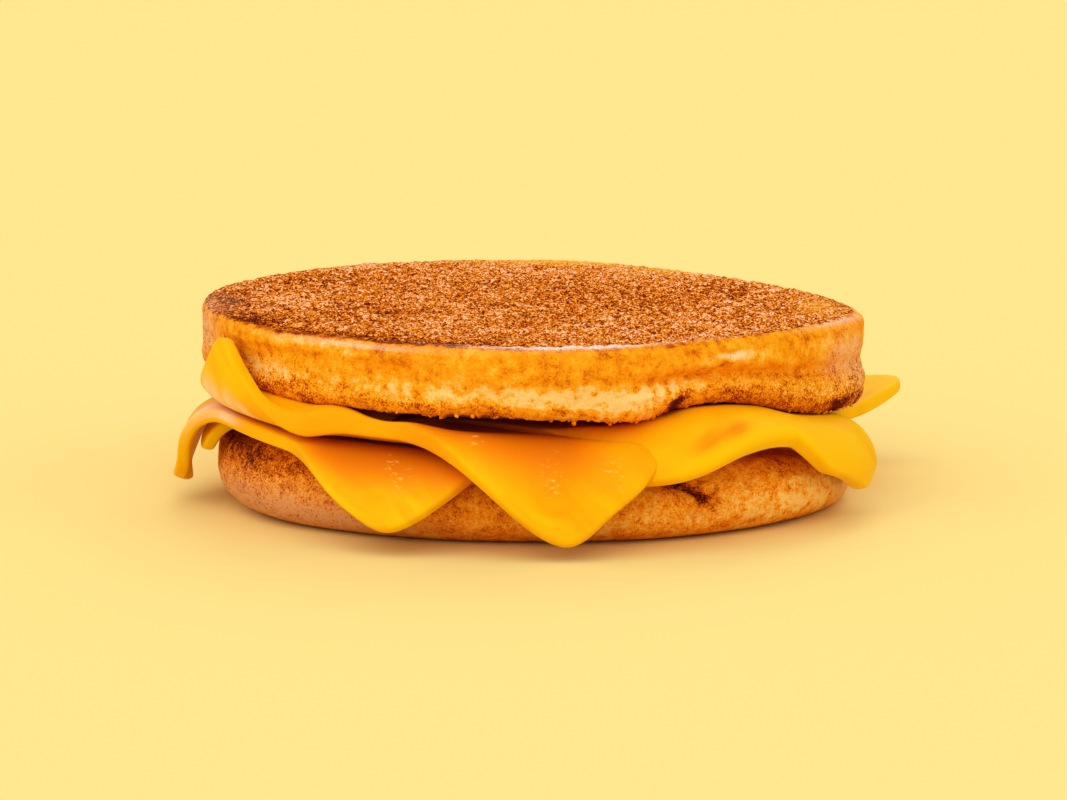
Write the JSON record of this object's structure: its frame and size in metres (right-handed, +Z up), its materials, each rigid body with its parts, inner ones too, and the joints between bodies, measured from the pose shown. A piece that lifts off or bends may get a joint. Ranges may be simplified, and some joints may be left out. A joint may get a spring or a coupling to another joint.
{
  "type": "grilled cheese sandwich",
  "caption": "Round-cornered toasted sandwich of white bread with melted cheese slices whose corners droop and curl out past the crust all round.",
  "frame": {"origin": "middle of the flat underside of the lower slice, where the sandwich rests", "axes": "+Z up through the slices; -Y is the front, where two cheese corners hang down; +X is the right-hand end, where a cheese corner sticks out"},
  "size_m": [0.1377, 0.1286, 0.0369],
  "materials": {
    "toasted_bread_lower": "butter-toasted white bread, orange-brown crust with darker and paler mottling, dry and slightly rough",
    "toasted_bread_upper": "butter-toasted white bread, fine red-brown and pale speckle on the flat face, golden crumb round the side, slightly greasy",
    "melted_cheese": "melted orange-yellow processed cheese, smooth and softly glossy"
  },
  "bodies": {
    "root": {"bread_lower": "toasted_bread_lower", "cheese_right": "melted_cheese", "cheese_left": "melted_cheese", "cheese_front": "melted_cheese", "cheese_back": "melted_cheese", "bread_upper": "toasted_bread_upper"}
  },
  "joints": []
}
